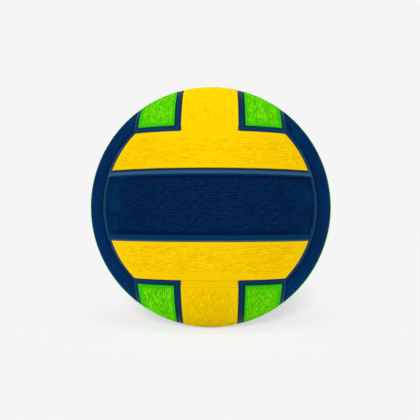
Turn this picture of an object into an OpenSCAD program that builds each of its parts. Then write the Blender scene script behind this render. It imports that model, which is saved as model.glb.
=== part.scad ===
// Water polo ball in moulded rubber: bladder, thread winding, carcass, channel base and 18 panels.
// The origin is the centre of the ball, +Z is up and the front faces -Y.

/* [Ball] */
// Outside diameter over the panels
ball_d = 220; // [200:1:240]
// Segments in a full turn
smoothness = 180; // [156:12:240]

/* [Panels] */
// Width of a middle panel, straight across between its long edges
middle_panel_w = 48; // [40:0.5:56]
// Width of a channel between two panels, along the surface
channel_w = 5.3; // [3.5:0.1:7]
// Depth of the channels below the panel faces
channel_depth = 0.6; // [0.4:0.05:0.8]
// Thickness of a panel, part of it set into the channel base
panel_t = 1; // [0.95:0.05:1.6]
// Radius of the rounded shoulder along each panel edge
shoulder_r = 0.6; // [0.2:0.05:0.6]
// Lean of a channel wall from square to the surface, in degrees
wall_lean = 12; // [6:1:24]

/* [Layers] */
// Thickness of the channel base under the panels
base_t = 0.35; // [0.3:0.05:0.8]
// Thickness of the carcass rubber
carcass_t = 0.4; // [0.3:0.05:0.8]
// Thickness of the thread winding
winding_t = 0.35; // [0.3:0.05:0.8]
// Thickness of the bladder
bladder_t = 0.7; // [0.5:0.05:1.2]

/* [Valve] */
// Diameter of the valve neck where it shows in the panel
neck_d = 7.6; // [6.8:0.1:10]
// Depth of the valve face below the panel face
neck_recess = 0.3; // [0.1:0.05:0.5]
// Diameter of the flange that is bonded inside the bladder
flange_d = 26; // [20:1:32]
// Thickness of the flange
flange_t = 1.2; // [0.8:0.1:2]
// Diameter of the reinforcing patch between bladder and flange
patch_d = 40; // [34:1:52]
// Thickness of the reinforcing patch
patch_t = 0.6; // [0.4:0.1:1.2]
// Thickness of the glue between bladder and patch, left as a gap
glue_t = 0.1; // [0.1:0.05:0.3]
// Diameter of the housing body inside the ball
housing_d = 11; // [10:0.5:14]
// Length of the housing body below the flange
housing_l = 11; // [10.5:0.5:14]
// Diameter of the self-sealing plug
plug_d = 4.6; // [4:0.1:4.8]
// Length of the plug, which stops short of the end of the housing
plug_l = 14; // [12:0.5:14.5]
// Height of the bead that holds the plug in its housing
bead_h = 0.6; // [0.3:0.1:0.8]
// Diameter of the needle bore in the plug
needle_bore_d = 2.1; // [1.8:0.1:2.4]
// Depth of the needle bore below the valve face
needle_bore_l = 8; // [6:0.5:9]
// Diameter of the countersunk mouth of the needle bore
mouth_d = 3.4; // [2.8:0.1:3.6]

/* [Hidden] */
$fn = smoothness;

// Bonded layers touch, and the valve parts have this gap all round
fit_gap = 0.05;
// How far a cutting shape runs past what it cuts
overrun = 6;
// The shoulder arc is this much larger than a tangent one, so that it meets both faces at a slight angle
arc_share = 1.03;

// Radii of the faces between the layers, from the panels inwards
panel_r = ball_d / 2;
floor_r = panel_r - channel_depth;
seat_r = panel_r - panel_t;
carcass_r = seat_r - base_t;
winding_r = carcass_r - carcass_t;
bladder_r = winding_r - winding_t;
air_r = bladder_r - bladder_t;

// Every panel edge is a small circle, given by its latitude above the mid-plane that its panels run along.
// The six faces meet where a cube's edges would, at the latitude whose sine is 1 / sqrt(3).
half_channel = channel_w / 2 / panel_r * 180 / PI;
face_seam = asin(1 / sqrt(3));
middle_edge = asin(middle_panel_w / 2 / panel_r);
outer_start = middle_edge + 2 * half_channel;
outer_edge = face_seam - half_channel;
end_edge = face_seam + half_channel;

// Sides of a panel edge: the panel lies below it or above it
panel_below = 1;
panel_above = -1;

yellow = [0.98, 0.82, 0.03];
green = [0.36, 0.76, 0.08];
navy = [0.03, 0.17, 0.34];
channel_navy = [0.08, 0.26, 0.44];
thread_white = [0.86, 0.86, 0.82];
carcass_grey = [0.35, 0.35, 0.36];
butyl_black = [0.1, 0.1, 0.1];
patch_red = [0.55, 0.22, 0.16];
valve_black = [0.06, 0.06, 0.07];

// Profiles lie in a half plane with the axis of turning upwards

function on_circle(r, latitude) = [r * cos(latitude), r * sin(latitude)];

// A point on the channel wall that meets the panel face at a latitude, so far outwards from that edge.
// The wall leans so that a panel is wider at its foot than at its face.
function wall_point(latitude, side, out) =
  on_circle(panel_r, latitude) + on_circle(out, latitude - side * wall_lean);

// What the rounded shoulder takes off the edge between panel face and channel wall
module shoulder_cut(latitude, side) {
  arc_r = min(shoulder_r, channel_depth);
  centre_r = panel_r - arc_r;
  inset = asin(arc_r * (1 - sin(wall_lean)) / cos(wall_lean) / centre_r);
  centre = on_circle(centre_r, latitude - side * inset);
  out = latitude - side * inset;
  across = latitude - side * wall_lean + side * 90;
  difference() {
    polygon([
      centre,
      centre + on_circle(2 * arc_r, out),
      centre + on_circle(4 * arc_r, (out + across) / 2),
      centre + on_circle(2 * arc_r, across)
    ]);
    translate(centre) circle(arc_r * arc_share);
  }
}

// Section of a run of panel between two latitudes
module strip_section(low, high) {
  middle = (low + high) / 2;
  difference() {
    intersection() {
      circle(panel_r);
      polygon([
        wall_point(low, panel_above, -overrun),
        wall_point(low, panel_above, overrun),
        on_circle(panel_r + 2 * overrun, middle),
        wall_point(high, panel_below, overrun),
        wall_point(high, panel_below, -overrun)
      ]);
    }
    circle(seat_r);
  }
}

// Section of all that lies beyond a wall, as seen from the equator
module cap_section(latitude, side) {
  inner = wall_point(latitude, side, -overrun);
  outer = wall_point(latitude, side, overrun);
  polygon([[0, inner.y], inner, outer, [outer.x, ball_d], [0, ball_d]]);
}

// Both ends of a front panel, turned about the axis that points out of the front
module front_cap() rotate([90, 0, 0]) rotate_extrude() children();

// An outer panel, above its middle panel, with room for the shoulders left on
module outer_blank() {
  intersection() {
    rotate_extrude() strip_section(outer_start, outer_edge);
    front_cap() cap_section(end_edge, panel_above);
  }
}

module outer_panel(side) {
  mirror([0, 0, side == panel_below ? 1 : 0]) intersection() {
    rotate_extrude() difference() {
      strip_section(outer_start, outer_edge);
      shoulder_cut(outer_start, panel_above);
      shoulder_cut(outer_edge, panel_below);
    }
    front_cap() difference() {
      cap_section(end_edge, panel_above);
      shoulder_cut(end_edge, panel_above);
    }
  }
}

// At its ends a middle panel runs on as a thin tongue, which floors the channel up to the next panel
module tongue_section(latitude) {
  intersection() {
    cap_section(latitude, panel_below);
    circle(floor_r);
  }
}

module middle_panel() {
  intersection() {
    rotate_extrude() difference() {
      strip_section(-middle_edge, middle_edge);
      shoulder_cut(-middle_edge, panel_above);
      shoulder_cut(middle_edge, panel_below);
    }
    front_cap() union() {
      difference() {
        cap_section(end_edge, panel_above);
        shoulder_cut(end_edge, panel_above);
      }
      tongue_section(outer_edge);
    }
  }
}

// The seat of a middle panel and its tongues, run on into the seats of the panels that cross its ends
module middle_seat() {
  intersection() {
    rotate_extrude() strip_section(-middle_edge, middle_edge);
    front_cap() cap_section(outer_edge - half_channel, panel_below);
  }
}

module outer_seats() {
  outer_blank();
  mirror([0, 0, 1]) outer_blank();
}

// Turns from the front of the ball to its other faces
module on_back() rotate([0, 0, 180]) children();
module on_bottom() rotate([90, 0, 90]) children();
module on_top() rotate([90, 0, 90]) rotate([0, 0, 180]) children();
module on_left() rotate([0, -90, -90]) children();
module on_right() rotate([0, -90, -90]) rotate([0, 0, 180]) children();

module on_all_faces() {
  children();
  on_back() children();
  on_bottom() children();
  on_top() children();
  on_left() children();
  on_right() children();
}

// The valve looks out of the middle of the back
module at_valve() rotate([-90, 0, 0]) children();

module valve_hole() at_valve() cylinder(r = neck_d / 2 + fit_gap, h = ball_d);

// One full layer of the wall, with the hole that the valve neck passes through
module wall_layer(outer_r, inner_r) {
  difference() {
    sphere(outer_r);
    sphere(inner_r);
    valve_hole();
  }
}

// A disc that follows the inside of the bladder
module inner_disc_section(outer_r, t, d) {
  intersection() {
    difference() {
      circle(outer_r);
      circle(outer_r - t);
    }
    translate([0, outer_r / 2]) square([d / 2, outer_r]);
  }
}

// Heights along the valve axis, measured from the centre of the ball
valve_face = panel_r - neck_recess;
patch_seat = air_r - glue_t;
patch_face = patch_seat - patch_t;
flange_face = patch_face - flange_t;
housing_end = flange_face - housing_l;
bead_z = valve_face - plug_l / 2;
mouth_h = (mouth_d - needle_bore_d) / 2;

// Outline of the plug from its axis outwards, grown by a gap for the cavity that holds it
module plug_section(gap) {
  r = plug_d / 2 + gap;
  foot = valve_face - plug_l - gap;
  polygon([
    [0, foot],
    [r - bead_h, foot],
    [r, foot + bead_h],
    [r, bead_z - 2 * bead_h],
    [r + bead_h, bead_z - bead_h],
    [r + bead_h, bead_z + bead_h],
    [r, bead_z + 2 * bead_h],
    [r, valve_face],
    [0, valve_face]
  ]);
}

module bladder() color(butyl_black) wall_layer(bladder_r, air_r);

module bladder_patch() {
  color(patch_red) at_valve() rotate_extrude() difference() {
    inner_disc_section(patch_seat, patch_t, patch_d);
    square([neck_d / 2 + fit_gap, ball_d]);
  }
}

// Outline of the neck and of the body below the flange, which tapers to its inner end
module sleeve_section() {
  neck_r = neck_d / 2;
  body_r = housing_d / 2;
  body_top = flange_face + flange_t / 2;
  polygon([
    [0, housing_end],
    [body_r / 2, housing_end],
    [body_r, housing_end + body_r / 2],
    [body_r, body_top],
    [neck_r, body_top],
    [neck_r, valve_face],
    [0, valve_face]
  ]);
}

module valve_housing() {
  color(valve_black) at_valve() rotate_extrude() difference() {
    union() {
      inner_disc_section(patch_face, flange_t, flange_d);
      sleeve_section();
    }
    plug_section(fit_gap);
    translate([0, valve_face - overrun]) square([plug_d / 2 + fit_gap, 2 * overrun]);
    translate([0, housing_end - overrun]) square([needle_bore_d / 2, 2 * overrun]);
  }
}

module valve_plug() {
  bore_r = needle_bore_d / 2;
  color(navy) at_valve() rotate_extrude() difference() {
    plug_section(0);
    translate([0, valve_face - needle_bore_l]) square([bore_r, 2 * needle_bore_l]);
    polygon([
      [0, valve_face - 2 * mouth_h],
      [bore_r - mouth_h, valve_face - 2 * mouth_h],
      [bore_r + 2 * mouth_h, valve_face + mouth_h],
      [0, valve_face + mouth_h]
    ]);
  }
}

module thread_winding() color(thread_white) wall_layer(winding_r, bladder_r);
module carcass_rubber() color(carcass_grey) wall_layer(carcass_r, winding_r);

module channel_base() {
  color(channel_navy) difference() {
    wall_layer(floor_r, carcass_r);
    on_all_faces() outer_seats();
    on_all_faces() middle_seat();
  }
}

module front_upper_panel() color(yellow) outer_panel(panel_above);
module front_middle_panel() color(navy) middle_panel();
module front_lower_panel() color(yellow) outer_panel(panel_below);

module back_upper_panel() color(yellow) on_back() outer_panel(panel_above);
module back_middle_panel() {
  color(navy) difference() {
    on_back() middle_panel();
    valve_hole();
  }
}
module back_lower_panel() color(yellow) on_back() outer_panel(panel_below);

module top_left_panel() color(green) on_top() outer_panel(panel_below);
module top_middle_panel() color(yellow) on_top() middle_panel();
module top_right_panel() color(green) on_top() outer_panel(panel_above);

module bottom_left_panel() color(green) on_bottom() outer_panel(panel_below);
module bottom_middle_panel() color(yellow) on_bottom() middle_panel();
module bottom_right_panel() color(green) on_bottom() outer_panel(panel_above);

module left_front_panel() color(navy) on_left() outer_panel(panel_below);
module left_middle_panel() color(green) on_left() middle_panel();
module left_back_panel() color(navy) on_left() outer_panel(panel_above);

module right_front_panel() color(navy) on_right() outer_panel(panel_below);
module right_middle_panel() color(green) on_right() middle_panel();
module right_back_panel() color(navy) on_right() outer_panel(panel_above);

bladder();
bladder_patch();
valve_housing();
valve_plug();
thread_winding();
carcass_rubber();
channel_base();
front_upper_panel();
front_middle_panel();
front_lower_panel();
back_upper_panel();
back_middle_panel();
back_lower_panel();
top_left_panel();
top_middle_panel();
top_right_panel();
bottom_left_panel();
bottom_middle_panel();
bottom_right_panel();
left_front_panel();
left_middle_panel();
left_back_panel();
right_front_panel();
right_middle_panel();
right_back_panel();
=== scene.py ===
"""Looks of the water polo ball: grooved panels, channel base, valve, inner layers and stage."""

import math

import bpy
import numpy as np
from mathutils import Euler, Matrix, Vector, noise


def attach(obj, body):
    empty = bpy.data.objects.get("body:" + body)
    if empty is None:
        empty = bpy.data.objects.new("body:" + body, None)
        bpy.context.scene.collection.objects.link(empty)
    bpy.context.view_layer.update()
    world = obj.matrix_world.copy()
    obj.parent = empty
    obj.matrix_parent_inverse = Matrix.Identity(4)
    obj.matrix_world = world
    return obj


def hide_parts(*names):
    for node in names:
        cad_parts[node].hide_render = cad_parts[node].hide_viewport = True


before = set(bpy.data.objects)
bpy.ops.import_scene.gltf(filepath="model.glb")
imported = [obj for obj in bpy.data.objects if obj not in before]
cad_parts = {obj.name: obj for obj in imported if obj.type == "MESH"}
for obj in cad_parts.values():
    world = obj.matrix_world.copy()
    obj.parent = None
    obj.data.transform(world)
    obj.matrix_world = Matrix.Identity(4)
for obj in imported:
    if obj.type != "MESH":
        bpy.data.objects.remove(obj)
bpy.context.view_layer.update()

bl_info = {
    "name": "Water Polo Ball",
    "version": (1, 0, 0),
    "blender": (4, 5, 0),
    "location": "3D View > Sidebar > Ball",
    "description": "Models the panels, channels and stage of a water polo ball",
    "category": "Add Mesh",
}

MM = 0.001
ROOT = "root"

# Latitude of a cube's corners on the ball, where the long sides of its faces meet the next ones
FACE_SEAM = math.asin(1 / math.sqrt(3))

# Turns from the front of the ball to its faces, before the half turn of two of them
FACES = {
    "front": Euler((0, 0, 0)),
    "back": Euler((0, 0, math.pi)),
    "bottom": Euler((math.pi / 2, 0, math.pi / 2)),
    "top": Euler((math.pi / 2, 0, math.pi / 2)),
    "left": Euler((0, -math.pi / 2, -math.pi / 2)),
    "right": Euler((0, -math.pi / 2, -math.pi / 2)),
}
HALF_TURNED = ("top", "right")

# Outer panels: node, face, whether it is the lower, left or front one of its face, and rubber
OUTER_PANELS = [
    ("front_upper_panel", "front", False, "yellow_rubber"),
    ("front_lower_panel", "front", True, "yellow_rubber"),
    ("back_upper_panel", "back", False, "yellow_rubber"),
    ("back_lower_panel", "back", True, "yellow_rubber"),
    ("top_right_panel", "top", False, "green_rubber"),
    ("top_left_panel", "top", True, "green_rubber"),
    ("bottom_right_panel", "bottom", False, "green_rubber"),
    ("bottom_left_panel", "bottom", True, "green_rubber"),
    ("left_back_panel", "left", False, "navy_rubber"),
    ("left_front_panel", "left", True, "navy_rubber"),
    ("right_back_panel", "right", False, "navy_rubber"),
    ("right_front_panel", "right", True, "navy_rubber"),
]

# Middle panels: node, face, rubber, strength of the streaks and of the painted shade and light
# of the grooves, and darkness of the painted shade along the joint lines
MIDDLE_PANELS = [
    ("front_middle_panel", "front", "navy_rubber", 1.0, 0.3),
    ("back_middle_panel", "back", "navy_rubber", 1.0, 0.3),
    ("top_middle_panel", "top", "yellow_rubber", 0.8, 0.0),
    ("bottom_middle_panel", "bottom", "yellow_rubber", 2.1, 0.5),
    ("left_middle_panel", "left", "green_rubber", 1.0, 0.3),
    ("right_middle_panel", "right", "green_rubber", 1.0, 0.3),
]
VALVE_PANEL = "back_middle_panel"

# Noise seeds of the first outer and the first middle panel
OUTER_SEED, MIDDLE_SEED = 1, 20

# Near its ends a strip's mesh follows the end edge for this far
END_ZONE = 6 * MM

# Distances between the lines of a strip's mesh: across it, in its end zones and on its tongues,
# and along it as a share of half its length
ACROSS_STEP = 0.36 * MM
END_STEP = 1.1 * MM
TONGUE_STEP = 0.7 * MM
ALONG_SHARE = 0.02

# Parts of a shoulder's turn, and every how many lines of a strip's underside one stays
SHOULDER_STEPS = 6
KEPT_LINES = 8

# How far a panel's wall runs on below the channel floor
WALL_BELOW = 0.1 * MM

# A middle panel's tongue: how far it stands above the channel floor beside it, how far off the
# panel's foot it starts, how far it runs in under the wall that it meets, and how much further
# in from its sides the channel rubber and painted shade of the walls reach
TONGUE_RISE = 0.04 * MM
TONGUE_GAP = 0.02 * MM
TONGUE_OVERLAP = 0.05 * MM
TONGUE_WALL_REACH = 0.45 * MM

# Distances between the lines of the base's mesh: under the panels, in the channels beside the
# middle panels and in those at the seams
SEAT_STEP = 2 * MM
CHANNEL_STEP = 0.46 * MM
SEAM_STEP = 0.4 * MM

# How far the base's fine lines and its channel floors reach past a channel's edges
FINE_REACH = 0.6 * MM
FLOOR_REACH = 0.35 * MM

# Points of the base nearer together than this are one point
MERGE_DISTANCE = 0.01 * MM

# The base's inner wall: how often its sphere is divided, and a distance in millimetres from the
# nearest channel's middle that leaves it plain
INNER_DIVISIONS = 6
OFF_CHANNEL = 10

# The valve hole's cutter: sides, depth, the radius and angles of its rounded lip, and the least
# share of a normal along +Y by which the end that the lip grows from is found
CUTTER_SIDES = 96
CUTTER_DEPTH = 12 * MM
LIP = 0.35 * MM
LIP_ANGLES = [math.radians(degrees) for degrees in (20, 40, 60, 80)]
END_NORMAL_SHARE = 0.9

# Edges that turn by more than this stay sharp
PANEL_CREASE = math.radians(50)
BASE_CREASE = math.radians(25)

# Smooth margins along the inner and outer long sides and the ends, in millimetres
MARGINS = {
    "yellow_rubber": (3.2, 6.5, 5.0),
    "green_rubber": (2.8, 4.4, 4.5),
    "navy_rubber": (3.8, 3.8, 4.5),
}

# Millimetres from a face's middle at which the outer half of an outer panel starts
OUTER_HALF = 47

# How far noise moves the ends of the grooves at the sides and ends of a panel, and over how far
# to each side they fade out there, and around the valve, in millimetres
RAGGED_SIDE, RAGGED_END = 1.2, 3.5
SIDE_FADE, END_FADE = 0.9, 1.5
VALVE_FADE = 1

# Noise over a panel: length and width of its features in millimetres, and a number of its own
RAGGED_NOISE = (3, 1.4, 0)

# Streaks of wear: their share, and their noise
WORN_STREAKS = [
    (0.55, (4.5, 0.55, 40)),
    (0.4, (2, 0.4, 60)),
    (0.1, (12, 3, 80)),
]

# Patches: their noise, mean level, swing and least level
PATCHES = {
    "groove_depth": ((7, 2.5, 5), 0.75, 0.4, 0.3),
    "rim": ((14, 10, 90), 0.75, 1.1, 0),
    "end_sheen": ((15, 9, 95), 0.35, 1.3, 0),
}

# Distance between the noise of two seeds, and between their waves along and across a strip
NOISE_STRIDE = 7.3
WAVE_STRIDE = (3.7, -1.9)

# Size of the noise cells that bend the grooves, in the wood texture's own units, and distance
# between two bands of that texture on a UV map
WAVE_NOISE = 1.6
BAND_PITCH = math.pi / 10

# Least share of the full depth at which a point is pressed in
LEAST_PRESS = 0.01

# How much streaks and grooves change a panel's tone, where the grooves give painted shade in
# their depths and painted light on the ridges, and the depth share of an unchanged tone
STREAK_TONE = 1.1
GROOVE_TONE = 0.5
GROOVE_MEAN = 0.4

# The tone of a panel that is neither that of a groove, 0, nor that of a ridge, 1
MIDDLE_TONE = 0.5

# State of the wall beside a channel: in painted shade, plain, or in painted light
WALL_SHADED, PLAIN, WALL_LIT = 0, 0.5, 1

# Bands along an edge, in millimetres inwards: where they start, are full, fade and are gone.
# They are the dark line inside the edges, the line across the ends, which is painted shade at
# a right end and a painted highlight at a left one, and the painted shade along the joint at a
# tongue.
RIM_BAND = (0.45, 0.8, 1.2, 1.8)
END_BAND = (2.4, 3.2, 4.2, 5.2)
JOINT_BAND = (0.4, 0.9, 1.6, 2.3)

# Fades inwards, in millimetres: the channel rubber and painted shade on a wall and how much
# further it goes on a wall in painted shade, the painted shade along the joint at the far end
# of a tongue and the painted sheen at the ends of a panel
WALL_FADE = (0.1, 0.7)
SHADED_WALL_REACH = 0.3
TONGUE_FADE = (0.8, 1.6)
END_SHEEN_FADE = (10, 38)

# The photograph: pixels along each side, the ball's centre and the focal length in pixels, and
# the width in millimetres of the sensor that it is set against
PHOTO_PX = 420
BALL_PX = (210.85, 207.1)
FOCAL_PX = 800.5
SENSOR = 36

# Soft lights: name, the way from the ball to the light, width in degrees, strength, and whether
# it lights only the floor or all but the floor
LIGHTS = [
    ("left_softbox", (-1, -0.6, 0), 60, 1.55, False),
    ("right_softbox", (1, -0.6, 0), 60, 1.31, False),
    ("front_softbox", (0, -1, 0.05), 40, 0.14, False),
    ("floor_lamp", (-0.04, -0.966, 0.26), 9, 4.1, True),
    ("high_floor_lamp", (0, -0.68, 0.73), 40, 0.67, True),
]

# The floor's size in metres, how bright the lights and the dome make a white one where nothing
# shades it, and how white it is
FLOOR_SIZE = 24
FLOOR_LIGHT = 1.72
FLOOR_WHITE = 0.3

# Looks of each rubber. Its colours are low in a groove, where they are partly painted shade,
# high on a ridge, where they are partly painted light, and channel rubber with painted shade
# on a wall. Its shares are the grain of ridge colour, dark clouds, the channel rubber and
# painted shade on the walls, channel rubber with some painted highlight on the tongues, the
# dark rim line with painted shade at the right ends, and the painted sheen and highlight at the
# ends. It is rough where grooved and smooth in a margin.
RUBBER_LOOKS = {
    "yellow_rubber": {
        "low": (0.75, 0.46, 0.001), "high": (0.99, 0.73, 0.003), "wall_rubber_and_shade": (0.01, 0.038, 0.075),
        "grain": 0.15, "cloud": 0.05, "wall": 0.95, "tongue": 0, "rim": 0, "pale": 0,
        "rough": 0.75, "smooth": 0.5, "sheen": 0, "sheen_tint": (1, 1, 1)},
    "green_rubber": {
        "low": (0.005, 0.33, 0.001), "high": (0.275, 0.95, 0.01), "wall_rubber_and_shade": (0.001, 0.022, 0.045),
        "grain": 0.3, "cloud": 0.12, "wall": 0.95, "tongue": 0, "rim": 0, "pale": 0,
        "rough": 0.75, "smooth": 0.5, "sheen": 0, "sheen_tint": (1, 1, 1)},
    "navy_rubber": {
        "low": (0.0002, 0.005, 0.03), "high": (0.005, 0.037, 0.135), "wall_rubber_and_shade": (0.003, 0.028, 0.08),
        "grain": 0.5, "cloud": 0.25, "wall": 0.7, "tongue": 1, "rim": 1, "pale": 0.9,
        "rough": 0.6, "smooth": 0.45, "sheen": 0.2, "sheen_tint": (0.01, 0.3, 1)},
}

# Brightness of the clouds on a panel, and the share of the channels' painted crest highlight in
# the colour of a navy tongue
CLOUD_SHADE = 0.6
TONGUE_HIGHLIGHT = 0.4

# Painted shade in the corners of the channels
CORNER_SHADE = (0.001, 0.015, 0.042)

# Painted shade on the walls that face down and painted light on those that face up beside the
# front and back middle panels, the latter also a painted highlight in the corners of the channel
# below them, the line inside the edges of a navy panel, also painted shade at its right end, and
# the painted sheen at its ends
PAINTED_WALL_SHADE = (0.006, 0.024, 0.014)
PAINTED_WALL_LIGHT = (0.035, 0.085, 0.14)
RIM_LINE = (0.006, 0.003, 0.021)
PAINTED_END_SHEEN = (0.0012, 0.031, 0.105)

# Values of the noise between which clouds, grain and the mottling of the inner layers build up
CLOUD_RANGE = (0.35, 0.65)
GRAIN_RANGE = (0.45, 0.7)
MOTTLE_RANGE = (0.3, 0.7)

# How strong the painted highlight along the channels' middles is: above the front and back
# middle panels, below them, beside the side faces, and elsewhere
CREST_HIGHLIGHT = {"above": 1, "below": 0, "beside": 0.45, "elsewhere": 0.15}

# Places of those channels on a ball of radius one: along a middle panel their height, half the
# width of their zone and how far round it runs, the painted highlight in the corners of the
# lower one, and how far the zones beside the side faces run
ALONG_MIDDLE = {"height": 0.24, "half_width": 0.05, "least_y": 0.58, "most_x": 0.8}
HIGHLIGHT_CORNER = {"height": 0.26, "half_width": 0.03}
BESIDE_SIDES = {"least_x": 0.5, "least_y": 0.5, "most_z": 0.45}

# Tones of a channel, in millimetres from its middle: the painted highlight on the crest fades
# out, the painted highlight in a corner starts and the painted shade in a corner starts, with
# the full share of each corner
CREST_FADE = (0.7, 1.9)
HIGHLIGHT_START, HIGHLIGHT_SHARE = (1.3, 1.9), 0.8
SHADE_START, SHADE_SHARE = (1.9, 2.45), 0.9

# Clouds on the channel rubber: their share and brightness
CHANNEL_CLOUD = 0.35
CHANNEL_CLOUD_SHADE = 1.3

# Nodes that keep their CAD mesh: material, colour, roughness, and scale and contrast of the
# mottling
LAYER_LOOKS = {
    "valve_housing": ("valve_rubber", (0.012, 0.013, 0.016), 0.5, 400, 0.25),
    "valve_plug": ("plug_rubber", (0.006, 0.035, 0.1), 0.45, 500, 0.2),
    "bladder": ("butyl_rubber", (0.015, 0.015, 0.016), 0.4, 80, 0.3),
    "bladder_patch": ("patch_rubber", (0.17, 0.022, 0.012), 0.7, 300, 0.25),
    "carcass_rubber": ("carcass_rubber", (0.08, 0.08, 0.085), 0.8, 200, 0.3),
}

# Wound thread: the turns at which its lines cross, and its colours between and on the lines
THREAD_TURNS = ((0.3, 0.2, 0.9), (1.2, 0.8, 0.1), (0.7, 1.9, 1.4))
THREAD_LOW = (0.4, 0.4, 0.37)
THREAD_HIGH = (0.8, 0.8, 0.74)


def length(name, description, default):
    return bpy.props.FloatProperty(
        name=name, description=description, default=default, precision=5,
        unit="LENGTH", subtype="DISTANCE")


def share(name, description, default):
    return bpy.props.FloatProperty(
        name=name, description=description, default=default, min=0, max=1,
        subtype="FACTOR")


def angle(name, description, default):
    return bpy.props.FloatProperty(
        name=name, description=description, default=math.radians(default),
        unit="ROTATION", subtype="ANGLE")


def amount(name, description, default):
    return bpy.props.FloatProperty(name=name, description=description, default=default, min=0)


def colour(name, description, default):
    return bpy.props.FloatVectorProperty(
        name=name, description=description, default=default, size=3, min=0, max=1,
        subtype="COLOR")


class BallSizes(bpy.types.PropertyGroup):
    """Sizes of the moulded ball, as in the CAD model"""

    ball_radius: length("Ball Radius", "Radius over the panels", 110 * MM)
    middle_width: length("Middle Panel", "Width of a middle panel", 48 * MM)
    channel_width: length("Channel Width", "Width of the channels", 5.3 * MM)
    channel_depth: length("Channel Depth", "Depth of the channels", 0.6 * MM)
    panel_depth: length("Panel Depth", "How far a panel's foot lies below its face", 1 * MM)
    base_depth: length("Base Depth", "How far the base's inside lies below the face", 1.35 * MM)
    shoulder: length("Shoulder", "Radius of the panels' shoulders", 0.6 * MM)
    wall_lean: angle("Wall Lean", "Lean of the channel walls", 12)
    crown: length("Channel Crown", "Rise of the channel floor along its middle", 0.42 * MM)
    valve_radius: length("Valve Hole", "Radius of the hole for the valve neck", 3.85 * MM)


class GripSizes(bpy.types.PropertyGroup):
    """Sizes of the grip grooves in the panel faces"""

    pitch: length("Pitch", "Distance between two grooves", 1.95 * MM)
    depth: length("Depth", "Depth of the grooves", 0.16 * MM)
    wave: length("Wave", "Length of the grooves' waves", 8 * MM)
    wander: amount("Wander", "How far the grooves wander from a straight line", 7)
    valve_land: length("Valve Land", "Radius of the smooth land around the valve", 9 * MM)


class RubberColours(bpy.types.PropertyGroup):
    """Colours of the rubber"""

    yellow: colour("Yellow", "Yellow panels", (0.905, 0.615, 0.001))
    yellow_smooth: colour("Yellow Margin", "Smooth margins of yellow panels", (0.92, 0.63, 0.001))
    green: colour("Green", "Green panels", (0.09, 0.6, 0.002))
    green_smooth: colour("Green Margin", "Smooth margins of green panels", (0.02, 0.55, 0.003))
    navy: colour("Navy", "Navy panels", (0.0008, 0.0145, 0.067))
    navy_smooth: colour("Navy Margin", "Smooth margins of navy panels", (0.0006, 0.0105, 0.049))
    channel: colour("Channel", "Rubber in the channels", (0.0015, 0.03, 0.088))
    # The crest colour is a painted highlight along the middles of the channels
    painted_crest_light: colour("Channel Crest", "Rubber along the middle of the channels", (0.026, 0.09, 0.18))


class StageSettings(bpy.types.PropertyGroup):
    """Camera, floor and light"""

    camera_distance: length("Distance", "From the ball's centre to the camera", 741.4 * MM)
    camera_turn: angle("Turn", "How far the camera stands to the side of the front", 0.68)
    camera_drop: angle("Drop", "How far the camera stands below the ball's centre", 0.92)
    camera_roll: angle("Roll", "Roll of the camera", 0.09)
    backdrop: share("Backdrop", "Brightness of floor and backdrop", 0.913)
    shadow: share("Shadow", "How much of the ball's shadow the camera sees", 0.55)
    dome: amount("Dome", "Strength of the light from all round", 0.16)
    lamps: amount("Lamps", "Strength of the soft lights together", 1)


def deselect_all():
    if bpy.context.object and bpy.context.object.mode != "OBJECT":
        bpy.ops.object.mode_set(mode="OBJECT")
    bpy.ops.object.select_all(action="DESELECT")


def select(*pieces):
    """Selects pieces and makes the first one active"""
    deselect_all()
    for piece in pieces:
        piece.select_set(True)
    bpy.context.view_layer.objects.active = pieces[0]


def copy_of(piece):
    """A copy with a mesh of its own"""
    copied = piece.copy()
    copied.data = piece.data.copy()
    bpy.context.collection.objects.link(copied)
    return copied


def give_material(piece, material):
    piece.data.materials.clear()
    piece.data.materials.append(material)


def points_of(piece):
    flat = np.empty(len(piece.data.vertices) * 3)
    piece.data.vertices.foreach_get("co", flat)
    return flat.reshape(-1, 3)


def set_points(piece, points):
    piece.data.vertices.foreach_set("co", np.ascontiguousarray(points, float).ravel())
    piece.data.update()


def values_of(piece, name):
    """What a mesh keeps at its points under a name"""
    values = np.empty(len(piece.data.vertices), np.float32)
    piece.data.attributes[name].data.foreach_get("value", values)
    return values


def set_values(piece, name, values):
    attribute = (piece.data.attributes.get(name)
                 or piece.data.attributes.new(name, "FLOAT", "POINT"))
    attribute.data.foreach_set("value", np.asarray(values, np.float32))


def smoothstep(low, high, x):
    t = np.clip((x - low) / (high - low), 0, 1)
    return t * t * (3 - 2 * t)


def fade(place, start, gone):
    """One up to the start, and zero from where it is gone"""
    return 1 - smoothstep(start, gone, place)


def band(place, start, full, fading, gone):
    """One in a band with soft edges, and zero beside it"""
    return smoothstep(start, full, place) * fade(place, fading, gone)


def apply_modifier(piece, kind, name, **settings):
    select(piece)
    modifier = piece.modifiers.new(name, kind)
    for key, value in settings.items():
        setattr(modifier, key, value)
    bpy.ops.object.modifier_apply(modifier=modifier.name)


class Layout:
    """Latitudes of the panel edges, as in the CAD model"""

    def __init__(self, sizes):
        self.radius = sizes.ball_radius
        self.half_channel = sizes.channel_width / 2 / sizes.ball_radius
        self.middle_edge = math.asin(sizes.middle_width / 2 / sizes.ball_radius)
        self.outer_start = self.middle_edge + 2 * self.half_channel
        self.outer_edge = FACE_SEAM - self.half_channel
        self.end_edge = FACE_SEAM + self.half_channel


def face_turn(face):
    """The turn from the front of the ball to a face"""
    turn = FACES[face].to_matrix().to_4x4()
    if face in HALF_TURNED:
        turn = turn @ Matrix.Rotation(math.pi, 4, "Z")
    return turn


def unit(points):
    return points / np.linalg.norm(points, axis=1)[:, None]


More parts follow.
